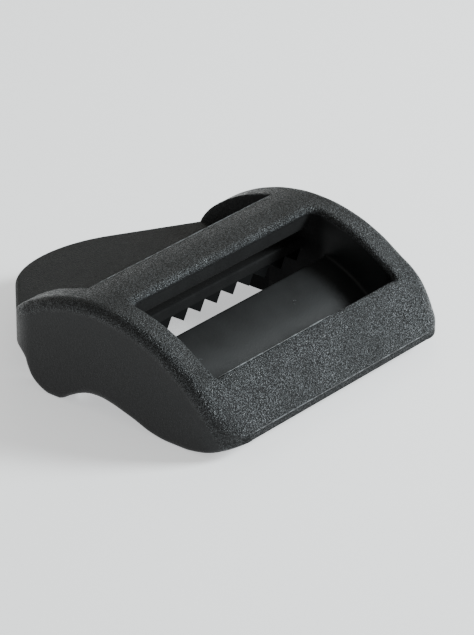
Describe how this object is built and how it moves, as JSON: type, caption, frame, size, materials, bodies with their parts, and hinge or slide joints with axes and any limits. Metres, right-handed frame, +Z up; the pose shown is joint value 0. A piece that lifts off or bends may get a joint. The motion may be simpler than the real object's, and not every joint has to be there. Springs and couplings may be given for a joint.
{
  "type": "ladder-lock strap buckle",
  "caption": "Moulded ladder-lock buckle for 25 mm webbing: arched cheeks, sloping sewn-strap bar, guide ramp, keeper bar, toothed locking bar and pointed lift tab.",
  "frame": {"origin": "under the middle of the buckle, on the plane that its two cheeks stand on", "axes": "+Z up, away from the surface it lies on; +Y from the sewn end to the tip of the lift tab; X along the cross bars"},
  "size_m": [0.033, 0.0381, 0.0112],
  "materials": {
    "grained_black": "fine spark-eroded grain, matt",
    "smooth_black": "smooth from the mould, semi-matt"
  },
  "bodies": {
    "root": {"left_cheek": "grained_black", "right_cheek": "grained_black", "front_plate": "grained_black", "guide_ramp": "smooth_black", "top_bar": "grained_black", "locking_bar": "smooth_black", "lift_tab": "grained_black"}
  },
  "joints": []
}
